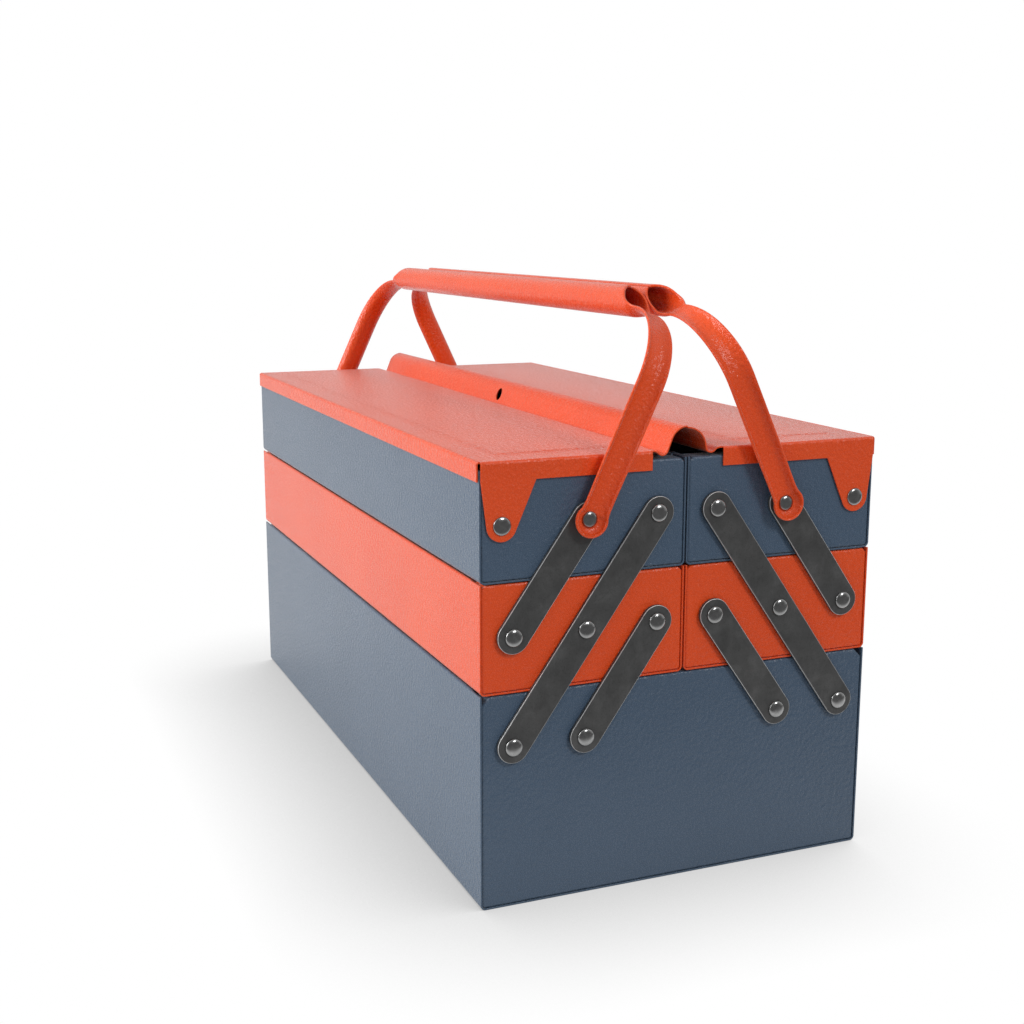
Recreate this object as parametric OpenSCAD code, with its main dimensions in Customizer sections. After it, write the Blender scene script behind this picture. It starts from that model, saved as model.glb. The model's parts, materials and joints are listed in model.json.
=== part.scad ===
/* [Box] */
// Length of the box over the ends of its folded shells
box_l = 412; // [320:1:600]
// Width of the box over its two long sides
box_w = 200; // [190:1:300]
// Height of the base tray
base_h = 100; // [90:1:160]
// Height that each level of trays adds to the stack
tray_h = 50; // [44:1:80]
// Gap between the front and the rear trays
centre_gap = 0.8; // [0.6:0.1:3]
// Gap between a tray's bottom and the rim that it rests over
stack_gap = 0.3; // [0.2:0.1:1]

/* [Sheet metal] */
// Thickness of the body sheet
sheet_t = 0.8; // [0.6:0.1:1.2]
// Outer radius of the folded bottom edges of a shell
fold_r = 2.4; // [2.2:0.1:6]
// Depth of the hemmed rims along the long sides
hem_d = 8; // [4:0.5:14]
// Slot inside a hemmed rim
hem_slot = 0.4; // [0.2:0.1:0.8]
// Gap between the end of a hem and the flange of the end plate
hem_end = 1; // [0.5:0.5:4]

/* [End plates] */
// How far an end plate sits behind the ends of the shell
plate_set = 0.2; // [0:0.1:1.5]
// Seam between an end plate's flanges and the shell
plate_seam = 0.12; // [0.08:0.01:0.3]
// Depth of the flanges of an end plate
plate_flange = 10; // [6:1:20]
// Radius of the folded edge round the face of an end plate
plate_edge = 0.9; // [0.5:0.1:1.2]
// Gap above an end plate, below the rim of its shell
plate_top_gap = 0.3; // [0.1:0.1:1]
// Corner cut at the top of the base's end plates
base_corner_cut = 3.4; // [2:0.1:6]
// Corner cut at the top of a tray's end plates
tray_corner_cut = 1.2; // [0.5:0.1:3]

/* [Linkage] */
// Distance of the innermost column of pivots from the centre plane
pivot_in = 15; // [12:0.5:20]
// Distance between the columns of pivots
pivot_step = 35; // [30:0.5:37]
// Depth of the pivots below the rim of their tray
pivot_drop = 24; // [18:0.5:28]
// Width of a link
link_w = 15; // [10:0.5:18]
// Thickness of a link
link_t = 2; // [1.2:0.1:3]
// Running gap between the shells' ends and what moves over them
run_gap = 0.25; // [0.2:0.05:1]

/* [Rivets] */
// Radius of the shoulder that a link, ear or handle turns on
shoulder_r = 2.6; // [2:0.1:3]
// Radial clearance of a turning hole on its shoulder
turn_gap = 0.08; // [0.05:0.01:0.1]
// Radius of the thin end that is closed over inside the end plate
tenon_r = 1.9; // [1.2:0.1:2]
// Radial clearance of the thin end in the end plate
tenon_gap = 0.05; // [0.02:0.01:0.1]
// Radius of the closed end inside the tray
tail_r = 3.4; // [2.6:0.1:5]
// Thickness of the closed end inside the tray
tail_t = 1; // [0.6:0.1:2]
// End play between a rivet's head and the outermost piece under it
head_play = 0.15; // [0.1:0.05:0.4]
// Height of the straight edge of a rivet's head
head_edge = 0.3; // [0.2:0.1:0.8]
// Radius of the head of a link rivet
link_head_r = 4.2; // [3.5:0.1:6]
// Height of the domed head of a link rivet
link_head_h = 2.2; // [1.2:0.1:3]
// Radius of the head of a handle rivet
eye_head_r = 3.5; // [3:0.1:4]
// Height of the domed head of a handle rivet
eye_head_h = 2; // [1.2:0.1:2.5]
// Radius of the head of a lid rivet
ear_head_r = 4.15; // [3.5:0.05:6]
// Height of the flat domed head of a lid rivet
ear_head_h = 1.3; // [0.8:0.1:1.4]

/* [Lids] */
// Thickness of the lid sheet
lid_t = 0.7; // [0.5:0.1:0.8]
// Height of the top of a lid above the tray's rim
lid_rise = 3.7; // [3:0.1:8]
// Gap between a lid's long skirt and the side of its tray
lid_gap = 0.4; // [0.2:0.05:0.6]
// Depth of the skirts from the top of a lid
skirt_d = 8.7; // [6:0.1:12]
// Outer radius of the folded edges of a lid
lid_fold_r = 1.4; // [1:0.1:2]
// Distance of the inner ends of the end skirts from the centre plane
skirt_in = 18; // [17.5:0.1:24]
// Slit between the long skirt and the end skirt at a corner
corner_slit = 0.9; // [0.4:0.1:2]
// Outer radius of the front lid's half of the ridge
front_ridge_r = 8.7; // [8:0.1:9.5]
// Outer radius of the rear lid's half of the ridge
rear_ridge_r = 10; // [9:0.1:10]
// Height of the ridge's crown above the tray's rim
crown_h = 14.1; // [13:0.1:15]
// Height by which the front lid's lip stands over the rear lid's
lap_step = 0.7; // [0.4:0.1:1.2]
// Gap between the two lids along the crown of the ridge
crown_gap = 0.3; // [0.2:0.1:1]
// Inner radius of the valley beside the ridge
valley_r = 2.2; // [2:0.1:2.2]
// Distance by which a valley stands out from the foot of the rear lid's half of the ridge
valley_out = 0.1; // [0.1:0.1:0.5]
// Gap between the underside of a valley and the rim of the tray
valley_gap = 1; // [0.2:0.1:1.2]
// Inner radius of the sweep from the valley up to the panel
swell_r = 3.2; // [2:0.1:6]
// Inset of the raised field from the ends of the box
field_end = 17.5; // [12:0.5:40]
// Inset of the raised field from the long side of the box
field_side = 14.5; // [10:0.5:25]
// Distance of the raised field from the centre plane
field_in = 33.5; // [28:0.5:40]
// Height of the raised field
field_h = 0.6; // [0.3:0.1:1]
// Width of the sloped border of the raised field
field_slope = 1.6; // [0.8:0.1:4]
// Distance of an ear's rivet from the long side of the box
ear_side = 10; // [8.5:0.5:11]
// Depth of an ear's rivet below the rim of the tray
ear_drop = 24.4; // [18:0.1:27]
// Radius of the round end of an ear
ear_r = 7; // [6:0.1:8]
// Width of an ear where it leaves the skirt
ear_w = 25.5; // [20:0.5:34]
// Radius of the padlock holes through the ridge
padlock_r = 3.3; // [2.5:0.1:3.4]
// Height of the padlock holes above the tray's rim
padlock_z = 6.9; // [6.5:0.1:8]
// Offset of the padlock holes from the middle of the box
padlock_x = 2; // [-20:1:20]

/* [Handles] */
// Thickness of the handle sheet
handle_t = 1.2; // [0.8:0.1:1.5]
// Outer radius of the rolled grips
grip_r = 7.25; // [6:0.05:8]
// Gap between the two grips
grip_gap = 0.4; // [0.3:0.1:1]
// Height of the middle of the grips above the trays' rims
grip_z = 67.15; // [60:0.05:80]
// Depth by which a rolled grip hangs below the top of the bends
grip_dip = 1.5; // [0:0.1:3]
// Half of the length of a rolled grip between its open mouths
grip_half_l = 157; // [110:1:160]
// Opening angle of the seam along a grip, to each side
seam_a = 2; // [1:0.5:6]
// Gap between a handle's eye and the link behind it
eye_gap = 0.3; // [0.2:0.1:0.6]
// Depth of the dished eye and of the channel of an arm
arm_d = 4.45; // [3.5:0.05:6]
// Radius of the rim of an eye
eye_r = 8.2; // [7.5:0.1:10]
// Radius of the flat floor inside an eye
eye_floor_r = 3.6; // [3.5:0.1:4.2]
// Half width of the neck above an eye
neck_hw = 5.5; // [5:0.1:7]
// Half width of the flat floor of an arm
arm_floor_hw = 1.5; // [0.5:0.1:3]
// Distance of the neck from the pivot
neck_s = 15; // [12:1:20]
// Half width of an arm
arm_hw = 7.1; // [6:0.05:8]
// Distance from the pivot at which an arm has its full width
arm_full_s = 32; // [26:1:40]
// Radius of the bend at the top of an arm
bend_r = 31; // [24:1:36]
// Depth of the channel where the bend meets the grip
bend_d = 2.2; // [1.6:0.1:4]
// Half width of the channel where the bend meets the grip
bend_hw = 6.8; // [5:0.1:7]

/* [Hidden] */
$fn = 64;
// Overlap of pieces of one solid, as a length and as an angle of an arc
lap = 0.1;
lap_a = 2;
// Offset that keeps two faces apart, and reach of a cut past a face
near = 0.01;
past = 2;
// Facets round a corner of an end plate
corner_fn = 24;
half_w = box_w / 2;
// Faces along X: shell end, end plate, link, eye, ear
x_end = box_l / 2;
x_plate = x_end - plate_set;
x_link = x_end + run_gap;
x_eye = x_link + link_t + eye_gap;
x_ear = x_end + run_gap;
// Levels of the rims
z_mid_rim = base_h + tray_h;
z_top_rim = base_h + 2 * tray_h;
// Columns and rows of pivots, as distance from the centre plane and height
y_in = pivot_in;
y_mid = pivot_in + pivot_step;
y_out = pivot_in + 2 * pivot_step;
z_base_pivot = base_h - pivot_drop;
z_mid_pivot = z_mid_rim - pivot_drop;
z_top_pivot = z_top_rim - pivot_drop;
ear_y = half_w - ear_side;
ear_z = z_top_rim - ear_drop;
hem_r = sheet_t + hem_slot / 2;
hem_l = 2 * (x_plate - plate_flange - hem_end);
turn_r = shoulder_r + turn_gap;
link_r = link_w / 2;
// Seats of the rivets' heads
seat_link = x_link + link_t + head_play;
seat_eye = x_eye + handle_t + head_play;
seat_ear = x_ear + lid_t + head_play;
// Lid levels and the ridge
z_lid = z_top_rim + lid_rise;
lid_side = half_w + lid_gap + lid_t;
skirt_out = half_w + lid_gap - corner_slit;
x_lid_fold = x_ear + lid_t - lid_fold_r;
valley_y = rear_ridge_r + valley_r + valley_out;
valley_z = z_top_rim + valley_gap + lid_t + valley_r;
// Turn of the two arcs from the valley up to the panel, and where the panel starts
swell_a = acos(1 - (z_lid - lid_t - z_top_rim - valley_gap) / (valley_r + lid_t + swell_r));
panel_in = valley_y + (valley_r + lid_t + swell_r) * sin(swell_a);
// Handle: the arm's line in the end view, and the bend
grip_y = grip_r + grip_gap / 2;
lean = atan2(y_mid - grip_y, grip_z + pivot_drop);
grip_s = norm([y_mid - grip_y, grip_z + pivot_drop]);
bend_s = grip_s - grip_r - bend_r + grip_dip;
bend_x = x_eye - bend_r;
grip_floor_hw = 0.15;
arc_n = 5;
eye_n = 12;
eye_steps = 3;
bend_n = 8;
roll_n = 8;

FRONT = -1;
REAR = 1;
LEFT = -1;
RIGHT = 1;
orange_paint = [0.86, 0.27, 0.12];
blue_paint = [0.30, 0.36, 0.43];
link_steel = [0.27, 0.27, 0.28];
rivet_steel = [0.55, 0.56, 0.58];

// Places a piece that is drawn at the rear right on its own side and end
module place(side, end) {
    mirror([end < 0 ? 1 : 0, 0, 0])
        mirror([0, side < 0 ? 1 : 0, 0])
            children();
}

// Repeats a piece that is drawn at the right end at both ends
module both_ends() {
    for (end = [LEFT, RIGHT]) mirror([end < 0 ? 1 : 0, 0, 0]) children();
}

// Extrudes an outline drawn as distance from the centre plane and height, centred along the box
module along_box(length) {
    rotate([90, 0, 90]) linear_extrude(height = length, center = true) children();
}

// Extrudes the same kind of outline outwards along X from a face
module from_face(x, thickness) {
    translate([x, 0, 0]) rotate([90, 0, 90]) linear_extrude(height = thickness) children();
}

// Flat ring sector between two radii, up to half a turn
module arc_band(r_out, r_in, a0, a1) {
    reach = 2 * r_out;
    mid = (a0 + a1) / 2;
    intersection() {
        difference() {
            circle(r = r_out);
            circle(r = r_in);
        }
        polygon(concat([[0, 0]], [for (a = [a0, mid, a1]) reach * [cos(a), sin(a)]]));
    }
}

// Outline with round bottom corners
module round_bottom(y0, y1, z0, z1, r) {
    translate([y0, z0 + r]) square([y1 - y0, z1 - z0 - r]);
    translate([y0 + r, z0]) square([y1 - y0 - 2 * r, 2 * r]);
    for (y = [y0 + r, y1 - r]) translate([y, z0 + r]) circle(r = r);
}

// Hemmed top of a long side whose outer face is at y = 0, folded towards positive y
module hem_outline(z_rim) {
    translate([hem_r, z_rim - hem_r]) arc_band(hem_r, hem_slot / 2, 0, 180);
    translate([0, z_rim - hem_r - lap]) square([sheet_t, lap]);
    translate([sheet_t + hem_slot, z_rim - hem_d]) square([sheet_t, hem_d - hem_r]);
}

// Folded shell: a bottom and two long sides in one sheet, open at both ends
module shell(y0, y1, z0, z1) {
    along_box(box_l) difference() {
        round_bottom(y0, y1, z0, z1 - hem_r, fold_r);
        round_bottom(y0 + sheet_t, y1 - sheet_t, z0 + sheet_t, z1, fold_r - sheet_t);
    }
    along_box(hem_l) {
        translate([y0, 0]) hem_outline(z1);
        translate([y1, 0]) mirror([1, 0]) hem_outline(z1);
    }
    both_ends() from_face(hem_l / 2 - lap, x_end - hem_l / 2 + lap)
        for (y = [y0, y1 - sheet_t]) translate([y, z1 - hem_r - lap]) square([sheet_t, hem_r + lap]);
}

// One corner of an end plate: a post with a rounded outer edge, ending at the plate's face
module plate_corner(r, depth) {
    shoulder = plate_edge * (1 - cos(45));
    rotate([0, 90, 0]) {
        translate([0, 0, -depth]) cylinder(r = r, h = depth - plate_edge, $fn = corner_fn);
        translate([0, 0, -plate_edge])
            cylinder(r1 = r, r2 = r - shoulder, h = plate_edge - shoulder, $fn = corner_fn);
        translate([0, 0, -shoulder])
            cylinder(r1 = r - shoulder, r2 = r - plate_edge, h = shoulder, $fn = corner_fn);
    }
}

// End plate: a shallow pan with flanges all round, its face outwards, for a tray between
// y0 and y1, with its pivots at the given places
module end_plate(y0, y1, z0, z1, cut, pivots) {
    side = sheet_t + plate_seam;
    r_low = fold_r - side;
    r_top = plate_edge + lap;
    top = z1 - plate_top_gap;
    corners = [
        [y0 + side + r_low, z0 + side + r_low, r_low],
        [y1 - side - r_low, z0 + side + r_low, r_low],
        [y0 + side + r_top, top - cut - r_top, r_top],
        [y1 - side - r_top, top - cut - r_top, r_top],
        [y0 + side + cut + r_top, top - r_top, r_top],
        [y1 - side - cut - r_top, top - r_top, r_top]];
    translate([x_plate, 0, 0]) difference() {
        hull() for (c = corners) translate([0, c[0], c[1]]) plate_corner(c[2], plate_flange);
        hull() for (c = corners) translate([-plate_flange - past, c[0], c[1]]) rotate([0, 90, 0])
            cylinder(r = c[2] - sheet_t, h = plate_flange + past - sheet_t, $fn = corner_fn);
        for (p = pivots) translate([-plate_flange, p[0], p[1]])
            rotate([0, 90, 0]) cylinder(r = tenon_r + tenon_gap, h = plate_flange + past);
    }
}

// Shouldered rivet along X: closed end inside the plate, thin end, shoulder and domed head
module rivet(seat, head_r, head_h) {
    dome_h = head_h - head_edge;
    dome_r = (head_r * head_r + dome_h * dome_h) / (2 * dome_h);
    inner = x_plate - sheet_t;
    rotate([0, 90, 0]) {
        translate([0, 0, inner - tail_t]) cylinder(r = tail_r, h = tail_t);
        translate([0, 0, inner - lap]) cylinder(r = tenon_r, h = sheet_t + 2 * lap);
        translate([0, 0, x_plate]) cylinder(r = shoulder_r, h = seat - x_plate + lap);
        translate([0, 0, seat]) intersection() {
            cylinder(r = head_r, h = head_h + lap);
            translate([0, 0, head_h - dome_r]) sphere(r = dome_r);
        }
    }
}

// Rivets of one seat at a list of pivots, at both ends
module rivets(side, pivots, seat, head_r, head_h) {
    color(rivet_steel) for (end = [LEFT, RIGHT]) place(side, end)
        for (p = pivots) translate([0, p[0], p[1]]) rivet(seat, head_r, head_h);
}

// Flat link with round ends between two pivots, with a turning hole at each of the given pivots
module link(side, end, p, q, pivots) {
    span = q - p;
    color(link_steel) place(side, end) from_face(x_link, link_t) difference() {
        union() {
            for (c = [p, q]) translate(c) circle(r = link_r);
            translate(p) rotate(atan2(span[1], span[0]))
                translate([0, -link_r]) square([norm(span), link_w]);
        }
        for (c = pivots) translate(c) circle(r = turn_r);
    }
}

module long_link(side, end) {
    link(side, end, [y_out, z_base_pivot], [y_in, z_top_pivot],
        [[y_out, z_base_pivot], [y_mid, z_mid_pivot], [y_in, z_top_pivot]]);
}

module lower_link(side, end) {
    p = [y_mid, z_base_pivot];
    q = [y_in, z_mid_pivot];
    link(side, end, p, q, [p, q]);
}

module upper_link(side, end) {
    p = [y_out, z_mid_pivot];
    q = [y_mid, z_top_pivot];
    link(side, end, p, q, [p, q]);
}

module base_shell() {
    color(blue_paint) shell(-half_w, half_w, 0, base_h);
}

module base_end(end) {
    columns = [-y_out, -y_mid, y_mid, y_out];
    color(blue_paint) place(REAR, end)
        end_plate(-half_w, half_w, 0, base_h, base_corner_cut, [for (y = columns) [y, z_base_pivot]]);
}

module base_link_rivets() {
    pivots = [[y_mid, z_base_pivot], [y_out, z_base_pivot]];
    for (side = [FRONT, REAR]) rivets(side, pivots, seat_link, link_head_r, link_head_h);
}

middle_pivots = [[y_in, z_mid_pivot], [y_mid, z_mid_pivot], [y_out, z_mid_pivot]];
upper_pivots = [[y_in, z_top_pivot], [y_mid, z_top_pivot], [ear_y, ear_z]];

module middle_tray_shell(side) {
    color(orange_paint) place(side, RIGHT)
        shell(centre_gap / 2, half_w, base_h + stack_gap, z_mid_rim);
}

module middle_tray_end(side, end) {
    color(orange_paint) place(side, end) end_plate(centre_gap / 2, half_w, base_h + stack_gap,
        z_mid_rim, tray_corner_cut, middle_pivots);
}

module upper_tray_shell(side) {
    color(blue_paint) place(side, RIGHT)
        shell(centre_gap / 2, half_w, z_mid_rim + stack_gap, z_top_rim);
}

module upper_tray_end(side, end) {
    color(blue_paint) place(side, end) end_plate(centre_gap / 2, half_w, z_mid_rim + stack_gap,
        z_top_rim, tray_corner_cut, upper_pivots);
}

// Section of a lid across the box: long skirt, panel, valley and one half of the ridge, which has
// its crown at z_crown
module lid_outline(ridge_r, z_crown) {
    ridge = [0, z_crown - ridge_r];
    valley = [valley_y, valley_z];
    reach = valley - ridge;
    flank_a = atan2(reach[1], reach[0]) + acos((ridge_r + valley_r) / norm(reach));
    // Long skirt and its folded edge
    translate([lid_side - lid_t, z_lid - skirt_d]) square([lid_t, skirt_d - lid_fold_r]);
    translate([lid_side - lid_fold_r, z_lid - lid_fold_r])
        arc_band(lid_fold_r, lid_fold_r - lid_t, -lap_a, 90 + lap_a);
    // Panel
    translate([panel_in - lap, z_lid - lid_t])
        square([lid_side - lid_fold_r - panel_in + 2 * lap, lid_t]);
    // Sweep down to the valley
    translate([panel_in, z_lid - lid_t - swell_r])
        arc_band(swell_r + lid_t, swell_r, 90, 90 + swell_a + lap_a);
    translate(valley) arc_band(valley_r + lid_t, valley_r, 180 + flank_a - lap_a, 270 + swell_a);
    // Half of the ridge, and the straight flank that touches both arcs
    translate(ridge) arc_band(ridge_r, ridge_r - lid_t, flank_a - lap_a, 90 + lap_a);
    out = [cos(flank_a), sin(flank_a)];
    polygon([ridge + (ridge_r - lid_t) * out, ridge + ridge_r * out,
        valley - valley_r * out, valley - (valley_r + lid_t) * out]);
}

// Frustum that raises the field on a lid, its foot at z = 0
module field_block() {
    x1 = x_end - field_end;
    y0 = field_in;
    y1 = half_w - field_side;
    s = field_slope;
    intersection() {
        along_box(3 * box_l) polygon([[y0 - s, -lid_t], [y0 - s, 0], [y0, field_h], [y1, field_h],
            [y1 + s, 0], [y1 + s, -lid_t]]);
        translate([0, half_w, 0]) rotate([90, 0, 0]) linear_extrude(height = box_w)
            polygon([[-x1 - s, -lid_t], [-x1 - s, 0], [-x1, field_h], [x1, field_h],
                [x1 + s, 0], [x1 + s, -lid_t]]);
    }
}

// Point where the tangent from p touches a circle; turn is 1 or -1 for its two sides
function tangent_point(p, c, r, turn) =
    let (d = norm(p - c), base = atan2(p[1] - c[1], p[0] - c[0]), swing = acos(r / d))
    c + r * [cos(base + turn * swing), sin(base + turn * swing)];

// Outline of an ear, hanging from the end skirt to its rivet
module ear_outline() {
    c = [ear_y, ear_z];
    low = z_lid - skirt_d;
    r = ear_r - near;
    outer = [skirt_out, low];
    inner = [skirt_out - ear_w, low];
    translate(c) circle(r = ear_r);
    polygon([c, tangent_point(inner, c, r, 1), inner, [inner[0], low + lap],
        [skirt_out, low + lap], outer, tangent_point(outer, c, r, -1)]);
}

// End skirt with its folded edge, and the ear
module lid_end() {
    width = skirt_out - skirt_in;
    from_face(x_ear, lid_t) difference() {
        union() {
            translate([skirt_in, z_lid - skirt_d]) square([width, skirt_d - lid_fold_r]);
            ear_outline();
        }
        translate([ear_y, ear_z]) circle(r = turn_r);
    }
    translate([x_lid_fold, skirt_out, z_lid - lid_fold_r]) rotate([90, 0, 0])
        linear_extrude(height = width) arc_band(lid_fold_r, lid_fold_r - lid_t, -lap_a, 90 + lap_a);
}

module lid(side) {
    ridge_r = side == FRONT ? front_ridge_r : rear_ridge_r;
    z_crown = z_top_rim + crown_h - (side == FRONT ? 0 : lap_step);
    length = 2 * x_lid_fold;
    edge = crown_gap / 2;
    color(orange_paint) place(side, RIGHT) difference() {
        union() {
            intersection() {
                along_box(length) lid_outline(ridge_r, z_crown);
                translate([-box_l, edge, 0]) cube([2 * box_l, box_w, 2 * z_lid]);
            }
            both_ends() lid_end();
            translate([0, 0, z_lid]) field_block();
        }
        translate([0, 0, z_lid - lid_t - near]) field_block();
        translate([padlock_x, 0, z_top_rim + padlock_z]) rotate([-90, 0, 0])
            cylinder(r = padlock_r, h = valley_y);
    }
}

// Channel section at a station, its flat floor's back at height 0 and its rims at height d.
// Two arcs of radius r stand on the ends of a floor of half width f.
function arc_side(r, low, f, side, a0, a1) =
    [for (i = [0:arc_n]) let (a = mix(a0, a1, i / arc_n)) [side * (f + r * sin(a)), low + r - r * cos(a)]];
function channel(r, d, f) =
    let (q = r - handle_t,
        out = acos(max(-cos(seam_a), 1 - d / r)),
        level = acos(max(-1, (r - d) / q)),
        closed = ease(max(0, min(1, 2 * d / r - 2))),
        in = mix(level, out, closed))
    concat(arc_side(r, 0, f, -1, out, 0), arc_side(r, 0, f, 1, 0, out),
        arc_side(q, handle_t, f, 1, in, 0), arc_side(q, handle_t, f, -1, 0, in));
function arc_r(hw, d) = (hw * hw + d * d) / (2 * d);
function ease(t) = t * t * (3 - 2 * t);
function mix(a, b, t) = a + (b - a) * t;

// Stations of the handle, from the middle of the eye: place along the arm, X, direction of the
// open side, and section
eye_turn = acos(neck_hw / eye_r);
function channel_at(hw, f) = channel(arc_r(hw - f, arm_d), arm_d, f);
eye_stations = [for (i = [0:eye_steps])
    let (a = eye_turn * i / eye_steps, s = eye_r * sin(a), q = eye_floor_r * eye_floor_r - s * s)
    [s, x_eye, 0, channel_at(eye_r * cos(a), max(arm_floor_hw, q > 0 ? sqrt(q) : 0))]];
arm_stations = [for (t = [0, 0.25, 0.5, 0.75, 1])
    [mix(neck_s, arm_full_s, t), x_eye, 0, channel_at(mix(neck_hw, arm_hw, ease(t)), arm_floor_hw)]];
bend_stations = [for (i = [0:bend_n])
    let (t = i / bend_n, a = 90 * t, k = ease(t), d = mix(arm_d, bend_d, k),
        f = mix(arm_floor_hw, grip_floor_hw, k), hw = mix(arm_hw, bend_hw, k))
    [bend_s + bend_r * sin(a), bend_x + bend_r * cos(a), a, channel(arc_r(hw - f, d), d, f)]];
roll_stations = [for (i = [1:roll_n])
    let (t = i / roll_n, k = ease(min(1, 2 * t)), d = mix(bend_d, 2 * grip_r, ease(t)),
        f = grip_floor_hw, r = mix(arc_r(bend_hw - f, bend_d), grip_r, k))
    [bend_s + bend_r - grip_dip * k, mix(bend_x, grip_half_l, t), 90, channel(r, d, f)]];
half_handle = concat(eye_stations, arm_stations, bend_stations, roll_stations);
half_count = len(half_handle);
// Station in the bend at which an arm meets the grip, just above where the lid's ridge passes
arm_top = len(eye_stations) + len(arm_stations) + 2;

// A point of a section, carried to its station at the right (end = 1) or left end
function handle_point(st, p, end) =
    let (s = st[0] + p[1] * sin(st[2]), x = st[1] + p[1] * cos(st[2]))
    [end * x, y_mid - s * sin(lean) + p[0] * cos(lean), z_top_pivot + s * cos(lean) + p[0] * sin(lean)];

// Numbers of the points in half a section and in a whole one
half_m = 2 * (arc_n + 1);
ring_m = 2 * half_m;

// The round lower half of an eye: half a section turned about the pivot in eye_n steps.
// Its first and last steps are the two halves of the section at the middle of the eye.
function eye_index(start, k, j) = k == 0 ? arc_n + 1 + j
    : k == eye_n ? (j <= arc_n ? arc_n - j : 5 * arc_n + 4 - j)
    : start + (k - 1) * half_m + j;
function eye_points() = let (st = half_handle[0])
    [for (k = [1:eye_n - 1]) for (j = [0:half_m - 1])
        let (p = st[3][arc_n + 1 + j], b = 180 * k / eye_n)
        handle_point([-p[0] * sin(b), st[1], 0], [p[0] * cos(b), p[1]], 1)];
function eye_faces(start) = concat(
    [for (k = [0:eye_n - 1]) for (j = [0:half_m - 2])
        [eye_index(start, k, j + 1), eye_index(start, k, j),
            eye_index(start, k + 1, j), eye_index(start, k + 1, j + 1)]],
    [[for (k = [0:eye_n]) eye_index(start, eye_n - k, 0)]],
    [[for (k = [0:eye_n]) eye_index(start, k, half_m - 1)]]);

// Faces along a swept sheet of a number of sections, and across its last section
function side_faces(count) = [for (i = [0:count - 2]) for (j = [0:ring_m - 1])
    let (a = i * ring_m + j, b = i * ring_m + (j + 1) % ring_m)
    each [[a, b + ring_m, a + ring_m], [a, b, b + ring_m]]];
function end_faces(count) = [for (j = [0:half_m - 2])
    let (a = (count - 1) * ring_m + j, b = count * ring_m - 1 - j)
    each [[a, a + 1, b - 1], [a, b - 1, b]]];
function flipped(faces) = [for (f = faces) [for (i = [len(f) - 1:-1:0]) f[i]]];

// Right arm of a handle: the eye, and the channel up to the first part of the bend
module arm_sheet() {
    count = arm_top + 1;
    points = concat(
        [for (i = [0:arm_top]) for (p = half_handle[i][3]) handle_point(half_handle[i], p, 1)],
        eye_points());
    faces = concat(side_faces(count), eye_faces(count * ring_m), end_faces(count));
    polyhedron(points = points, faces = faces, convexity = 10);
}

// Rolled grip of a handle, with the rest of the bend at each end
module grip_sheet() {
    count = half_count - arm_top;
    stations = [for (i = [arm_top:half_count - 1]) half_handle[i]];
    points = concat(
        [for (i = [0:count - 1]) for (p = stations[i][3]) handle_point(stations[i], p, 1)],
        [for (i = [count - 1:-1:0]) for (p = stations[i][3]) handle_point(stations[i], p, -1)]);
    faces = concat(side_faces(2 * count), flipped(end_faces(1)), end_faces(2 * count));
    polyhedron(points = points, faces = faces, convexity = 10);
}

module handle(side) {
    color(orange_paint) place(side, RIGHT) grip_sheet();
}

module handle_arm(side, end) {
    color(orange_paint) place(side, end) difference() {
        arm_sheet();
        translate([x_eye - past, y_mid, z_top_pivot]) rotate([0, 90, 0])
            cylinder(r = turn_r, h = arm_d + 2 * past);
    }
}

base_shell();
base_end(LEFT);  // base_left_end
base_end(RIGHT);  // base_right_end
base_link_rivets();
middle_tray_shell(FRONT);  // front_middle_tray_shell
middle_tray_end(FRONT, LEFT);  // front_middle_tray_left_end
middle_tray_end(FRONT, RIGHT);  // front_middle_tray_right_end
rivets(FRONT, middle_pivots, seat_link, link_head_r, link_head_h);  // front_middle_tray_link_rivets
middle_tray_shell(REAR);  // rear_middle_tray_shell
middle_tray_end(REAR, LEFT);  // rear_middle_tray_left_end
middle_tray_end(REAR, RIGHT);  // rear_middle_tray_right_end
rivets(REAR, middle_pivots, seat_link, link_head_r, link_head_h);  // rear_middle_tray_link_rivets
upper_tray_shell(FRONT);  // front_upper_tray_shell
upper_tray_end(FRONT, LEFT);  // front_upper_tray_left_end
upper_tray_end(FRONT, RIGHT);  // front_upper_tray_right_end
rivets(FRONT, [upper_pivots[0]], seat_link, link_head_r, link_head_h);  // front_upper_tray_link_rivets
rivets(FRONT, [upper_pivots[1]], seat_eye, eye_head_r, eye_head_h);  // front_handle_rivets
rivets(FRONT, [upper_pivots[2]], seat_ear, ear_head_r, ear_head_h);  // front_lid_rivets
upper_tray_shell(REAR);  // rear_upper_tray_shell
upper_tray_end(REAR, LEFT);  // rear_upper_tray_left_end
upper_tray_end(REAR, RIGHT);  // rear_upper_tray_right_end
rivets(REAR, [upper_pivots[0]], seat_link, link_head_r, link_head_h);  // rear_upper_tray_link_rivets
rivets(REAR, [upper_pivots[1]], seat_eye, eye_head_r, eye_head_h);  // rear_handle_rivets
rivets(REAR, [upper_pivots[2]], seat_ear, ear_head_r, ear_head_h);  // rear_lid_rivets
lid(FRONT);  // front_lid
lid(REAR);  // rear_lid
handle(FRONT);  // front_handle
handle_arm(FRONT, LEFT);  // front_handle_left_arm
handle_arm(FRONT, RIGHT);  // front_handle_right_arm
handle(REAR);  // rear_handle
handle_arm(REAR, LEFT);  // rear_handle_left_arm
handle_arm(REAR, RIGHT);  // rear_handle_right_arm
long_link(FRONT, LEFT);  // front_left_long_link
lower_link(FRONT, LEFT);  // front_left_lower_link
upper_link(FRONT, LEFT);  // front_left_upper_link
long_link(FRONT, RIGHT);  // front_right_long_link
lower_link(FRONT, RIGHT);  // front_right_lower_link
upper_link(FRONT, RIGHT);  // front_right_upper_link
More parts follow.
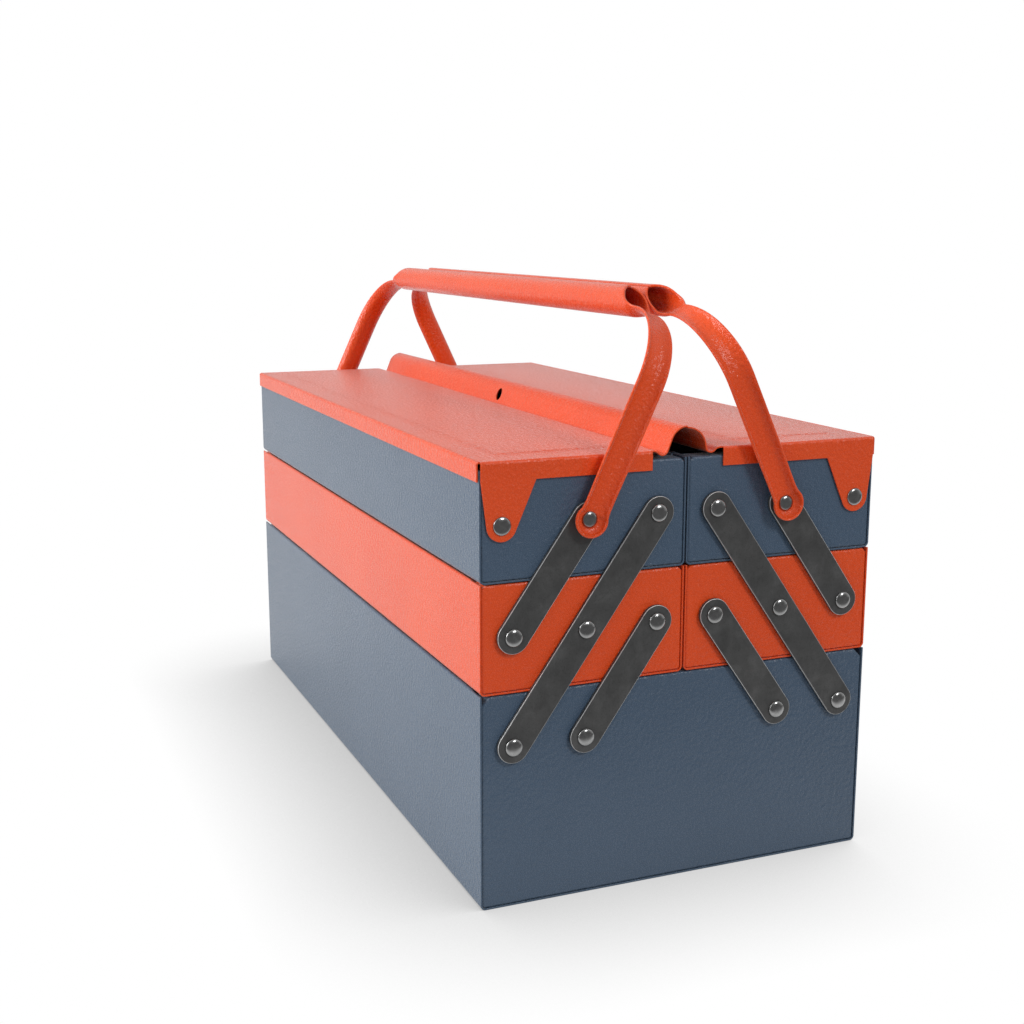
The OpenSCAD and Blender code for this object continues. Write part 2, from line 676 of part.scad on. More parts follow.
long_link(REAR, LEFT);  // rear_left_long_link
lower_link(REAR, LEFT);  // rear_left_lower_link
upper_link(REAR, LEFT);  // rear_left_upper_link
long_link(REAR, RIGHT);  // rear_right_long_link
lower_link(REAR, RIGHT);  // rear_right_lower_link
upper_link(REAR, RIGHT);  // rear_right_upper_link
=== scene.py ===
"""Looks of a five-tray toolbox: painted steel sheet, phosphated links and plated rivets."""

import json
import math

import bpy
import bmesh
from mathutils import Matrix, Vector


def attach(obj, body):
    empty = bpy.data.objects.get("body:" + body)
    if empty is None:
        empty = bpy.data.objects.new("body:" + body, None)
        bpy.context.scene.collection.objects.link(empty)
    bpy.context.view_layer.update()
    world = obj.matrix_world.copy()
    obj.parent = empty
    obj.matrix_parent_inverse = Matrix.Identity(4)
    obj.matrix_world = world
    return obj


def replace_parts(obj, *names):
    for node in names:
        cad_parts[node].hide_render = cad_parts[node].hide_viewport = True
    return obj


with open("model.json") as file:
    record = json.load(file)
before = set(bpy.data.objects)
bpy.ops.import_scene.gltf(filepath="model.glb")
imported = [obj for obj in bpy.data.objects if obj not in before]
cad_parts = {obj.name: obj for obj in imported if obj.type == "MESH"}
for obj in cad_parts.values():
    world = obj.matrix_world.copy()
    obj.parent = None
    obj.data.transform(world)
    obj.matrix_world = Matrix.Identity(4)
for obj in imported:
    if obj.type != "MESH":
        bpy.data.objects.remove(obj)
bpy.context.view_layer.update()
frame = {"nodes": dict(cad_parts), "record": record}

# Lengths in this script are in millimetres unless a comment says otherwise
MM = 0.001
SIDES = {"front": -1, "rear": 1}
ENDS = {"left": -1, "right": 1}

# Places along the box's length: the end plates, and the inner faces of what lies over them
X_PLATE = 205.8
X_LINK = 206.25
X_EAR = 206.25
X_EYE = 208.55

# Thicknesses, the width of the links, and the radius of the holes that turn on rivets
SHEET_T = 0.8
EAR_T = 0.7
HANDLE_T = 1.2
LINK_T = 2.0
LINK_W = 15.0
TURNING_HOLE_R = 2.68

# Distance within which two points of a mesh are joined, in metres
WELD = 0.002 * MM

# Columns of pivots from the centre plane, their levels, and the pivots of the ears
COLUMN = {"in": 15.0, "mid": 50.0, "out": 85.0}
LEVEL = {"base": 76.0, "middle": 126.0, "upper": 176.0}
EAR_PIVOT = (90.0, 175.6)


class Value:
    """A socket of a node tree that takes part in an expression."""

    def __init__(self, graph, socket):
        self.graph = graph
        self.socket = socket

    def math(self, operation, *others):
        values = dict(enumerate((self, *others)))
        return self.graph.node("ShaderNodeMath", {"operation": operation}, values)

    def __add__(self, other):
        return self.math("ADD", other)

    def __sub__(self, other):
        return self.math("SUBTRACT", other)

    def __mul__(self, other):
        return self.math("MULTIPLY", other)

    def __truediv__(self, other):
        return self.math("DIVIDE", other)

    def __pow__(self, other):
        return self.math("POWER", other)

    def __lt__(self, other):
        return self.math("LESS_THAN", other)

    def __rsub__(self, other):
        return self.graph.node("ShaderNodeMath", {"operation": "SUBTRACT"}, {0: other, 1: self})

    __radd__ = __add__


class Graph:
    """Adds nodes to a shader or geometry tree."""

    def __init__(self, tree):
        self.tree = tree

    def put(self, socket, value):
        if isinstance(value, Value):
            self.tree.links.new(value.socket, socket)
        else:
            socket.default_value = value

    def node(self, kind, settings=None, values=None, out=0):
        made = self.tree.nodes.new(kind)
        for name, setting in (settings or {}).items():
            if name == "stops":
                ramp = made.color_ramp.elements
                while len(ramp) < len(setting):
                    ramp.new(0.5)
                for stop, (place, colour) in zip(ramp, setting):
                    stop.position = place
                    stop.color = colour
            else:
                setattr(made, name, setting)
        for key, value in (values or {}).items():
            self.put(made.inputs[key], value)
        return Value(self, made.outputs[out]) if made.outputs else None

    def blend(self, factor, a, b):
        return self.node("ShaderNodeMix", {"data_type": "RGBA"}, {0: factor, 6: a, 7: b}, out=2)


def grey(level):
    return (level, level, level, 1.0)


def rgb(red, green, blue):
    return (red, green, blue, 1.0)


# Materials

def new_finish(name):
    material = bpy.data.materials.new(name)
    material.use_nodes = True
    material.node_tree.nodes.clear()
    graph = Graph(material.node_tree)
    place = graph.node("ShaderNodeTexCoord", out="Object")
    return material, graph, place


def close_finish(graph, values):
    shader = graph.node("ShaderNodeBsdfPrincipled", values=values)
    graph.node("ShaderNodeOutputMaterial", values={"Surface": shader})


def noise(graph, place, scale, detail=2.0, roughness=0.5, distortion=0.0):
    values = {"Vector": place, "Scale": scale, "Detail": detail, "Roughness": roughness,
              "Distortion": distortion}
    return graph.node("ShaderNodeTexNoise", values=values)


def stretched(graph, place, scale, turn):
    """A place in a pattern that is turned and drawn out along one of its own axes."""
    values = {"Vector": place, "Scale": scale, "Rotation": turn}
    return graph.node("ShaderNodeMapping", values=values)


def between(graph, value, low, high):
    """Smooth step from 0 to 1 as a value goes from low to high."""
    return graph.node("ShaderNodeMapRange", {"interpolation_type": "SMOOTHSTEP"},
                      {0: value, 1: low, 2: high})


def bumped(graph, strength, distance, height):
    """Small relief, with its depth in metres."""
    values = {"Strength": strength, "Distance": distance, "Height": height}
    return graph.node("ShaderNodeBump", values=values)


# Fineness of the patterns: how many of each lie along a metre
PEBBLES = 600.0
GRAINS = 2100.0
CLOUDS = 14.0
BLOTCHES = 95.0
STREAKS = 700.0
SPECKS = 1500.0
DENTS = 260.0
HAZE = 500.0


def powder_coat(name, base, deep, pale):
    """Textured powder coat: fine pebbles, a faint cloudiness and a dusty satin skin."""
    material, graph, place = new_finish(name)
    pebble = noise(graph, place, PEBBLES, 1.0, 0.4)
    grain = noise(graph, place, GRAINS, 1.0)
    cloud = noise(graph, place, CLOUDS, 3.0)
    colour = graph.blend(between(graph, cloud, 0.3, 0.7), deep, base)
    colour = graph.blend(between(graph, grain, 0.45, 0.75) * 0.45, colour, pale)
    bump = bumped(graph, 1.0, 0.00065, pebble * 0.75 + grain * 0.25)
    close_finish(graph, {"Base Color": colour, "Roughness": 0.22 + grain * 0.1, "Normal": bump,
                         "Specular IOR Level": 0.42, "Sheen Weight": 0.4, "Sheen Roughness": 0.25})
    return material


def phosphate_steel(name):
    """Dark phosphated strip with rolled streaks, soft blotches and a painted highlight on its
    rounded edges.
    """
    material, graph, place = new_finish(name)
    blotch = noise(graph, place, BLOTCHES, 4.0, 0.6, 0.4)
    rolled = stretched(graph, place, (1.0, 1.0, 0.25), (0.3, 0.0, 0.0))
    streak = noise(graph, rolled, STREAKS, 3.0, 0.6)
    speck = noise(graph, place, SPECKS, 1.0)
    stops = [(0.3, grey(0.066)), (0.55, grey(0.086)), (0.75, grey(0.112))]
    shade = graph.node("ShaderNodeValToRGB", {"stops": stops}, {0: blotch})
    colour = graph.blend(between(graph, streak, 0.45, 0.8) * 0.2, shade, grey(0.12))
    colour = graph.blend(between(graph, speck, 0.5, 0.8) * 0.3, colour, grey(0.03))
    # Painted highlight: faces whose normals lie between the strip's flat faces and its cut sides,
    # that is its rounded edges, are made light grey
    facing = graph.node("ShaderNodeTexCoord", out="Normal")
    flat = graph.node("ShaderNodeSeparateXYZ", values={0: facing}).math("ABSOLUTE")
    painted_edge_highlight = between(graph, flat, 0.1, 0.35) * (1.0 - between(graph, flat, 0.85, 0.98))
    colour = graph.blend(painted_edge_highlight, colour, grey(0.65))
    bump = bumped(graph, 0.3, 0.00006, speck)
    close_finish(graph, {"Base Color": colour, "Metallic": 0.4, "Roughness": 0.36 + blotch * 0.2,
                         "Normal": bump, "Specular IOR Level": 0.4})
    return material


def plated_steel(name):
    """Plated rivet heads: glossy, with soft patches."""
    material, graph, place = new_finish(name)
    dent = noise(graph, place, DENTS, 1.0)
    haze = noise(graph, place, HAZE, 3.0, 0.6)
    colour = graph.blend(between(graph, haze, 0.4, 0.75) * 0.5, grey(0.32), grey(0.44))
    bump = bumped(graph, 0.3, 0.0002, dent)
    close_finish(graph, {"Base Color": colour, "Metallic": 1.0, "Roughness": 0.16 + haze * 0.1,
                         "Normal": bump})
    return material


orange = powder_coat("orange_powder_coat", rgb(0.74, 0.075, 0.012), rgb(0.70, 0.066, 0.010),
                     rgb(0.80, 0.11, 0.03))
slate = powder_coat("slate_powder_coat", rgb(0.065, 0.102, 0.156), rgb(0.059, 0.094, 0.145),
                    rgb(0.086, 0.126, 0.186))
strip = phosphate_steel("phosphated_strip")
zinc = plated_steel("zinc_plated_rivets")
FINISH = {"orange_paint": orange, "blue_paint": slate, "link_steel": strip, "rivet_steel": zinc}

for part in frame["record"]["subparts"]:
    node = frame["nodes"][part["node"]]
    for holder in node.material_slots:
        holder.material = FINISH[part["material_slot"]]


# Meshes

# Angle from which an edge is rounded
TURNED_FROM = math.radians(50.0)


def new_object(name, data):
    made = bpy.data.objects.new(name, data)
    bpy.context.scene.collection.objects.link(made)
    return made


def new_mesh(name, shape):
    """Turns a shape into a mesh and frees it."""
    mesh = bpy.data.meshes.new(name)
    shape.to_mesh(mesh)
    shape.free()
    return mesh


def smoothed(mesh, angle):
    """Makes all faces smooth, with sharp edges from an angle in degrees."""
    mesh.polygons.foreach_set("use_smooth", [True] * len(mesh.polygons))
    mesh.set_sharp_from_angle(angle=math.radians(angle))


def riding_piece(name, mesh, body, slot):
    """Makes a finished mesh a visible piece with the finish of its slot, riding on a body."""
    mesh.materials.clear()
    mesh.materials.append(FINISH[slot])
    piece = new_object(name, mesh)
    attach(piece, body)
    return piece


def evaluated_mesh(holder, name):
    """The plain mesh that an object's modifiers make; the object itself is removed."""
    ready = holder.evaluated_get(bpy.context.evaluated_depsgraph_get())
    mesh = bpy.data.meshes.new_from_object(ready)
    mesh.name = name
    bpy.data.objects.remove(holder)
    return mesh


def edged_piece(holder, name, edge, body, slot, limit="ANGLE"):
    """Rounds an object's sharp edges, keeps its flat faces flat, and lets it ride on a body."""
    turned = holder.modifiers.new("turned_edges", "BEVEL")
    turned.width = edge * MM
    turned.segments = 2
    turned.limit_method = limit
    turned.angle_limit = TURNED_FROM
    turned.use_clamp_overlap = False
    turned.harden_normals = True
    flat = holder.modifiers.new("flat_faces", "WEIGHTED_NORMAL")
    flat.keep_sharp = True
    return riding_piece(name, evaluated_mesh(holder, name), body, slot)


# Folded and pressed sheet: the CAD pieces with rounded sheet edges

# The rounding, and the place and half width of the little steps where the hems of the shells end
SHEET_EDGE = 0.1
HEM_END_X = 194.75
HEM_STEP = 0.1

PRESSED = [part for part in frame["record"]["subparts"]
           if part["node"].endswith(("_lid", "_end", "_shell"))]
BODY_OF = {node: body for body, nodes in frame["record"]["behaviour"]["bodies"].items()
           for node in nodes}


def at_hem_end(edge):
    return all(abs(abs(corner.co.x) - HEM_END_X * MM) < HEM_STEP * MM for corner in edge.verts)


def merged_copy(node, name):
    """A copy of a CAD piece with whole smooth faces, and a weight on the edges to be rounded."""
    shape = bmesh.new()
    shape.from_mesh(frame["nodes"][node].data)
    bmesh.ops.remove_doubles(shape, verts=shape.verts, dist=0.003 * MM)
    bmesh.ops.dissolve_limit(shape, angle_limit=math.radians(0.5), verts=shape.verts,
                             edges=shape.edges, delimit={"NORMAL"})
    weight = shape.edges.layers.float.new("bevel_weight_edge")
    for edge in shape.edges:
        turned = len(edge.link_faces) == 2 and edge.calc_face_angle() > TURNED_FROM
        edge[weight] = 1.0 if turned and not at_hem_end(edge) else 0.0
    mesh = new_mesh(name, shape)
    smoothed(mesh, 18.0)
    return new_object(name + "_sheet", mesh)


for part in PRESSED:
    node = part["node"]
    pressing = edged_piece(merged_copy(node, node + "_pressing"), node + "_pressing", SHEET_EDGE,
                           BODY_OF[node], part["material_slot"], "WEIGHT")
    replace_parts(pressing, node)


# Handles: one sheet, pressed to a channel along the arms and rolled to a tube along the grip

# Grip: radius, place of its axis, half length of the tube, dip below the bends, and the half
# angle of the seam in degrees
GRIP_R = 7.25
GRIP_Z = 267.14
GRIP_Y = 7.45
GRIP_HALF_L = 157.0
GRIP_DIP = 1.5
SEAM_A = 2.0
# Eye: radius over the rim and of the flat floor
EYE_R = 7.95
EYE_FLOOR_R = 3.6
# Arm: depth, half widths at the shoulder, neck and middle, run of the neck, place of the full width
ARM_D = 4.45
SHOULDER_HW = 7.3
NECK_HW = 6.8
ARM_HW = 7.1
NECK_RUN = 4.5
ARM_FULL_S = 32.0
# Bend: radius, and the depth and half width at its top
BEND_R = 31.0
BEND_D = 2.2
BEND_HW = 6.8
# Half widths of the flat floor of the channel
ARM_FLOOR_HW = 1.5
GRIP_FLOOR_HW = 0.15
# Steps round a half section and its rim, round the end of an eye, and along each stretch
ARC_N = 12
RIM_N = 4
EYE_N = 28
SHOULDER_N = 6
NECK_N = 8
ARM_N = 10
BEND_N = 24
GRIP_N = 28
# Tool that bores the eyes
DRILL_N = 40
DRILL_L = 6.0


def ease(t):
    return t * t * (3.0 - 2.0 * t)


def mix(a, b, t):
    return a + (b - a) * t


def arc_radius(half_width, depth):
    return (half_width * half_width + depth * depth) / (2.0 * depth)


def half_section(r, d, f):
    """Right half of a channel or tube, from the outer floor round the rim to the inner floor."""
    mid_r = r - HANDLE_T / 2.0
    limit = math.pi - math.radians(SEAM_A) - HANDLE_T / 2.0 / mid_r
    turn = min(limit, math.acos(max(-1.0, min(1.0, (r + HANDLE_T / 2.0 - d) / mid_r))))
    angles = [turn * i / ARC_N for i in range(ARC_N + 1)]
    outer, inner = ([(f + face_r * math.sin(a), r - face_r * math.cos(a)) for a in angles]
                    for face_r in (r, r - HANDLE_T))
    centre = (f + mid_r * math.sin(turn), r - mid_r * math.cos(turn))
    rim = []
    for i in range(1, RIM_N):
        a = math.pi * i / RIM_N
        along, out = math.sin(a) * HANDLE_T / 2.0, math.cos(a) * HANDLE_T / 2.0
        rim.append((centre[0] + along * math.cos(turn) + out * math.sin(turn),
                    centre[1] + along * math.sin(turn) - out * math.cos(turn)))
    return outer + rim + inner[::-1]


def arm_section(half_width, f):
    return half_section(arc_radius(half_width - f, ARM_D), ARM_D, f)


def handle_stations():
    """Distance along the arm, X, tilt of the open side, and half section, from eye to grip."""
    lean_run = (COLUMN["mid"] - GRIP_Y, GRIP_Z - LEVEL["upper"])
    grip_s = math.hypot(*lean_run)
    bend_s = grip_s - GRIP_R - BEND_R + GRIP_DIP
    bend_x = X_EYE - BEND_R
    stations = []
    turn = math.acos(SHOULDER_HW / EYE_R)
    for i in range(SHOULDER_N + 1):
        a = turn * i / SHOULDER_N
        s = EYE_R * math.sin(a)
        floor = math.sqrt(EYE_FLOOR_R * EYE_FLOOR_R - s * s)
        stations.append((s, X_EYE, 0.0, arm_section(EYE_R * math.cos(a), floor)))
    shoulder_s = EYE_R * math.sin(turn)
    shoulder_floor = math.sqrt(EYE_FLOOR_R * EYE_FLOOR_R - shoulder_s * shoulder_s)
    for i in range(1, NECK_N + 1):
        t = i / NECK_N
        fall = (1.0 - t) * (1.0 - t)
        half = arm_section(mix(NECK_HW, SHOULDER_HW, fall), mix(ARM_FLOOR_HW, shoulder_floor, fall))
        stations.append((shoulder_s + NECK_RUN * t, X_EYE, 0.0, half))
    neck_s = shoulder_s + NECK_RUN
    for i in range(1, ARM_N + 1):
        t = i / ARM_N
        stations.append((mix(neck_s, ARM_FULL_S, t), X_EYE, 0.0,
                         arm_section(mix(NECK_HW, ARM_HW, ease(t)), ARM_FLOOR_HW)))
    for i in range(BEND_N + 1):
        t = i / BEND_N
        k = ease(t)
        d = mix(ARM_D, BEND_D, k)
        f = mix(ARM_FLOOR_HW, GRIP_FLOOR_HW, k)
        hw = mix(ARM_HW, BEND_HW, k)
        a = math.pi / 2.0 * t
        stations.append((bend_s + BEND_R * math.sin(a), bend_x + BEND_R * math.cos(a), a,
                         half_section(arc_radius(hw - f, d), d, f)))
    start_r = arc_radius(BEND_HW - GRIP_FLOOR_HW, BEND_D)
    for i in range(1, GRIP_N + 1):
        t = i / GRIP_N
        k = ease(min(1.0, 2.0 * t))
        d = mix(BEND_D, 2.0 * GRIP_R, ease(t))
        half = half_section(mix(start_r, GRIP_R, k), d, GRIP_FLOOR_HW)
        stations.append((bend_s + BEND_R - GRIP_DIP * k, mix(bend_x, GRIP_HALF_L, t),
                         math.pi / 2.0, half))
    return stations


def handle_mesh(name, side):
    """Sweeps the half sections from eye to eye and closes the round ends of the eyes."""
    lean = math.atan2(COLUMN["mid"] - GRIP_Y, GRIP_Z - LEVEL["upper"])
    stations = handle_stations()
    path = [(s, 1) for s in stations] + [(s, -1) for s in reversed(stations)]
    shape = bmesh.new()

    def point(station, across, height, end):
        s = station[0] + height * math.sin(station[2])
        x = station[1] + height * math.cos(station[2])
        y = COLUMN["mid"] - s * math.sin(lean) + across * math.cos(lean)
        z = LEVEL["upper"] + s * math.cos(lean) + across * math.sin(lean)
        return shape.verts.new((end * x * MM, side * y * MM, z * MM))

    rings = []
    for station, end in path:
        half = station[3]
        rings.append([point(station, a, h, end) for a, h in half]
                     + [point(station, -a, h, end) for a, h in reversed(half)])
    for ring, after in zip(rings, rings[1:]):
        for i in range(len(ring)):
            j = (i + 1) % len(ring)
            shape.faces.new((ring[i], ring[j], after[j], after[i]))
    for end in (1, -1):
        station = stations[0]
        fans = []
        for k in range(EYE_N + 1):
            b = math.pi * k / EYE_N
            turned = []
            for a, h in station[3]:
                at = (station[0] - a * math.sin(b), station[1], 0.0)
                turned.append(point(at, a * math.cos(b), h, end))
            fans.append(turned)
        for fan, after in zip(fans, fans[1:]):
            for i in range(len(fan) - 1):
                shape.faces.new((fan[i], fan[i + 1], after[i + 1], after[i]))
        for row in (0, -1):
            shape.faces.new([fan[row] for fan in fans])
    bmesh.ops.remove_doubles(shape, verts=shape.verts, dist=0.004 * MM)
    bmesh.ops.recalc_face_normals(shape, faces=shape.faces)
    return new_mesh(name, shape)


def bored(mesh, side):
    """Cuts the turning holes through the floors of the two eyes."""
    holder = new_object(mesh.name + "_blank", mesh)
    tool = bmesh.new()
    for end in (-1, 1):
        centre = Vector((end * X_EYE, side * COLUMN["mid"], LEVEL["upper"])) * MM
        turned = Matrix.Translation(centre) @ Matrix.Rotation(math.pi / 2.0, 4, "Y")
        bmesh.ops.create_cone(tool, cap_ends=True, segments=DRILL_N, radius1=TURNING_HOLE_R * MM,
                              radius2=TURNING_HOLE_R * MM, depth=DRILL_L * MM, matrix=turned)
    drill = new_object("eye_drill", new_mesh("eye_drill", tool))
    cut = holder.modifiers.new("eye_bores", "BOOLEAN")
    cut.operation = "DIFFERENCE"
    cut.solver = "EXACT"
    cut.object = drill
    made = evaluated_mesh(holder, mesh.name + "_bored")
    bpy.data.objects.remove(drill)
    return made


for label, side in SIDES.items():
    sheet = bored(handle_mesh(label + "_handle_sheet", side), side)
    smoothed(sheet, 35.0)
    handle = riding_piece(label + "_handle_sheet", sheet, label + "_handle", "orange_paint")
    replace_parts(handle, *(label + "_handle" + part for part in ("", "_left_arm", "_right_arm")))


# Geometry Nodes

def new_tree(name, inputs):
    """A geometry tree with named inputs; returns its graph and the inputs as values."""
    tree = bpy.data.node_groups.new(name, "GeometryNodeTree")
    tree.interface.new_socket("Geometry", in_out="INPUT", socket_type="NodeSocketGeometry")
    tree.interface.new_socket("Geometry", in_out="OUTPUT", socket_type="NodeSocketGeometry")
    for label, (kind, default) in inputs.items():
        socket = tree.interface.new_socket(label, in_out="INPUT", socket_type=kind)
        socket.default_value = default
    graph = Graph(tree)
    entry = tree.nodes.new("NodeGroupInput")
    values = {socket.name: Value(graph, socket) for socket in entry.outputs if socket.name}
    return graph, values


def close_tree(graph, shape, finish):
    """Ends a tree with realized instances and a material."""
    real = graph.node("GeometryNodeRealizeInstances", values={0: shape})
    dressed = graph.node("GeometryNodeSetMaterial", values={"Geometry": real, "Material": finish})
    leave = graph.tree.nodes.new("NodeGroupOutput")
    graph.put(leave.inputs[0], dressed)


def grown(name, tree, points, sizes):
    """Runs a tree on a set of points and returns the plain mesh."""
    seed = bpy.data.meshes.new(name + "_points")
    seed.from_pydata([tuple(c * MM for c in p) for p in points], [], [])
    holder = new_object(name + "_points", seed)
    grow = holder.modifiers.new(name, "NODES")
    grow.node_group = tree
    for item in tree.interface.items_tree:
        if item.item_type == "SOCKET" and item.in_out == "INPUT" and item.name in sizes:
            grow[item.identifier] = sizes[item.name]
    return evaluated_mesh(holder, name)


def turned_surface(graph, segments, rings, profile):
    """Surface of revolution about X from a function of v that gives X and radius."""
    grid = graph.node("GeometryNodeMeshGrid", values={"Size X": 1.0, "Size Y": 1.0,
                                                      "Vertices X": segments, "Vertices Y": rings})
    at = graph.node("GeometryNodeInputPosition")
    split = graph.node("ShaderNodeSeparateXYZ", values={0: at})
    u = split + 0.5
    v = Value(graph, split.socket.node.outputs[1]) + 0.5
    x, radius = profile(v)
    angle = u * (2.0 * math.pi)
    spot = graph.node("ShaderNodeCombineXYZ", values={0: x, 1: radius * angle.math("COSINE"),
                                                      2: radius * angle.math("SINE")})
    bent = graph.node("GeometryNodeSetPosition", values={"Geometry": grid, "Position": spot})
    return graph.node("GeometryNodeMergeByDistance", values={"Geometry": bent, "Distance": WELD})


def rod(graph, radius, low, high):
    """Cylinder along X between two places."""
    length = high - low
    bar = graph.node("GeometryNodeMeshCylinder",
                     values={"Vertices": ROD_N, "Radius": radius, "Depth": length})
    middle = graph.node("ShaderNodeCombineXYZ", values={0: (low + high) * 0.5})
    return graph.node("GeometryNodeTransform", values={"Geometry": bar, "Translation": middle,
                                                       "Rotation": (0.0, math.pi / 2.0, 0.0)})


def joined(graph, shapes):
    join = graph.tree.nodes.new("GeometryNodeJoinGeometry")
    for shape in shapes:
        graph.tree.links.new(shape.socket, join.inputs[0])
    return Value(graph, join.outputs[0])


# Running gap under a rivet's head, and the depth by which its parts go into one another
HEAD_PLAY = 0.15
RIVET_BITE = 0.1
# Points round a head and from its crown to its edge, and round the straight parts
HEAD_N = 49
DOME_N = 18
ROD_N = 32


def rivet_tree():
    """Shouldered rivet at every point, with its domed head away from the box's middle."""
    length = "NodeSocketFloat"
    graph, size = new_tree("domed_rivets", {
        "Seat": (length, 2.4 * MM), "Head radius": (length, 4.2 * MM),
        "Head height": (length, 2.2 * MM), "Roundness": (length, 0.9),
        "Shoulder radius": (length, 2.6 * MM), "Shank radius": (length, 1.9 * MM),
        "Tail radius": (length, 3.4 * MM), "Tail thickness": (length, 1.0 * MM)})

    def dome(v):
        turn = v * (math.pi / 2.0)
        rise = turn.math("COSINE").math("MAXIMUM", 0.0) ** size["Roundness"]
        return (size["Seat"] + size["Head height"] * rise,
                size["Head radius"] * turn.math("SINE") ** size["Roundness"])

    def underside(v):
        return size["Seat"], size["Head radius"] * v

    head = turned_surface(graph, HEAD_N, DOME_N, dome)
    under = turned_surface(graph, HEAD_N, 3, underside)
    under = graph.node("GeometryNodeFlipFaces", values={"Mesh": under})
    closed = graph.node("GeometryNodeMergeByDistance",
                        values={"Geometry": joined(graph, [head, under]), "Distance": WELD})
    inner_face = -SHEET_T * MM
    bite = RIVET_BITE * MM
    shoulder = rod(graph, size["Shoulder radius"], 0.0, size["Seat"] + bite)
    tail = rod(graph, size["Tail radius"], inner_face - size["Tail thickness"], inner_face)
    shank = rod(graph, size["Shank radius"], inner_face - bite, bite)
    rivet = joined(graph, [closed, shoulder, tail, shank])
    at = graph.node("GeometryNodeInputPosition")
    across = graph.node("ShaderNodeSeparateXYZ", values={0: at})
    facing = graph.node("ShaderNodeCombineXYZ", values={2: (across < 0.0) * math.pi})
    placed = graph.node("GeometryNodeInstanceOnPoints", values={
        "Points": size["Geometry"], "Instance": rivet, "Rotation": facing})
    close_tree(graph, placed, zinc)
    return graph.tree


domed_rivets = rivet_tree()


def rivet_piece(name, nodes, body, groups):
    """Rivets of one body; each group is a list of pivots with the seat and head of its rivets."""
    shape = bmesh.new()
    for pivots, sizes in groups:
        points = [(end * X_PLATE, y, z) for end in ENDS.values() for y, z in pivots]
        mesh = grown(name, domed_rivets, points, sizes)
        shape.from_mesh(mesh)
        bpy.data.meshes.remove(mesh)
    mesh = new_mesh(name, shape)
    smoothed(mesh, 40.0)
    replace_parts(riding_piece(name, mesh, body, "rivet_steel"), *nodes)


def rivet_sizes(outer_face, head_r, head_h):
    """Sizes of a rivet whose head lies over a piece with that outer face."""
    return {"Seat": (outer_face + HEAD_PLAY - X_PLATE) * MM, "Head radius": head_r * MM,
            "Head height": head_h * MM}


LINK_RIVET = rivet_sizes(X_LINK + LINK_T, 4.15, 1.7)
EYE_RIVET = rivet_sizes(X_EYE + HANDLE_T, 3.7, 1.4)
EAR_RIVET = rivet_sizes(X_EAR + EAR_T, 4.15, 1.3)

base_pivots = [(side * COLUMN[c], LEVEL["base"]) for side in SIDES.values() for c in ("mid", "out")]
rivet_piece("base_rivets", ["base_link_rivets"], "base", [(base_pivots, LINK_RIVET)])
for label, side in SIDES.items():
    middle = [(side * COLUMN[c], LEVEL["middle"]) for c in COLUMN]
    rivet_piece(label + "_middle_rivets", [label + "_middle_tray_link_rivets"],
                label + "_middle_tray", [(middle, LINK_RIVET)])
    rivet_piece(label + "_upper_rivets",
                [label + kind for kind in ("_upper_tray_link_rivets", "_handle_rivets",
                                           "_lid_rivets")],
                label + "_upper_tray",
                [([(side * COLUMN["in"], LEVEL["upper"])], LINK_RIVET),
                 ([(side * COLUMN["mid"], LEVEL["upper"])], EYE_RIVET),
                 ([(side * EAR_PIVOT[0], EAR_PIVOT[1])], EAR_RIVET)])


# Points round each quarter of a link's end and round its holes, and the rounding of its edges
CORNER_N = 14
HOLE_N = 32
LINK_EDGE = 0.35


def link_tree():
    """Flat strip with round ends, and a row of turning holes, laid along Y at every point."""
    length = "NodeSocketFloat"
    graph, size = new_tree("strip_links", {
        "Length": (length, 60.0 * MM), "Width": (length, LINK_W * MM),
        "Thickness": (length, LINK_T * MM), "Hole radius": (length, TURNING_HOLE_R * MM),
        "Holes": ("NodeSocketInt", 2), "Turn": (length, 0.0)})
    oblong = graph.node("GeometryNodeCurvePrimitiveQuadrilateral", {"mode": "RECTANGLE"},
                        {"Width": size["Length"] + size["Width"], "Height": size["Width"]})
    # The radius stays just under half the width, so that the rounded corners never meet
    outline = graph.node("GeometryNodeFilletCurve", {"mode": "POLY"},
                         {"Curve": oblong, "Count": CORNER_N, "Radius": size["Width"] * 0.4999})
    start = graph.node("ShaderNodeCombineXYZ", values={0: size["Length"] * -0.5})
    step = graph.node("ShaderNodeCombineXYZ", values={0: size["Length"] / (size["Holes"] - 1.0)})
    row = graph.node("GeometryNodeMeshLine", {"mode": "OFFSET"},
                     {"Count": size["Holes"], "Start Location": start, "Offset": step})
    ring = graph.node("GeometryNodeCurvePrimitiveCircle", {"mode": "RADIUS"},
                      {"Resolution": HOLE_N, "Radius": size["Hole radius"]})
    rings = graph.node("GeometryNodeRealizeInstances", values={
        0: graph.node("GeometryNodeInstanceOnPoints", values={"Points": row, "Instance": ring})})
    face = graph.node("GeometryNodeFillCurve", {"mode": "NGONS"},
                      {0: joined(graph, [outline, rings])})
    back = graph.node("GeometryNodeFlipFaces", values={"Mesh": face})
    raised = graph.node("GeometryNodeExtrudeMesh", {"mode": "FACES"},
                        {"Mesh": face, "Offset Scale": size["Thickness"], "Individual": False})
    strip_shape = graph.node("GeometryNodeMergeByDistance",
                             values={"Geometry": joined(graph, [raised, back]), "Distance": WELD})
    flat = graph.node("GeometryNodeTransform", values={
        "Geometry": strip_shape, "Rotation": (math.pi / 2.0, 0.0, math.pi / 2.0)})
    facing = graph.node("ShaderNodeCombineXYZ", values={0: size["Turn"]})
    placed = graph.node("GeometryNodeInstanceOnPoints", values={
        "Points": size["Geometry"], "Instance": flat, "Rotation": facing})
    close_tree(graph, placed, strip)
    return graph.tree


strip_links = link_tree()


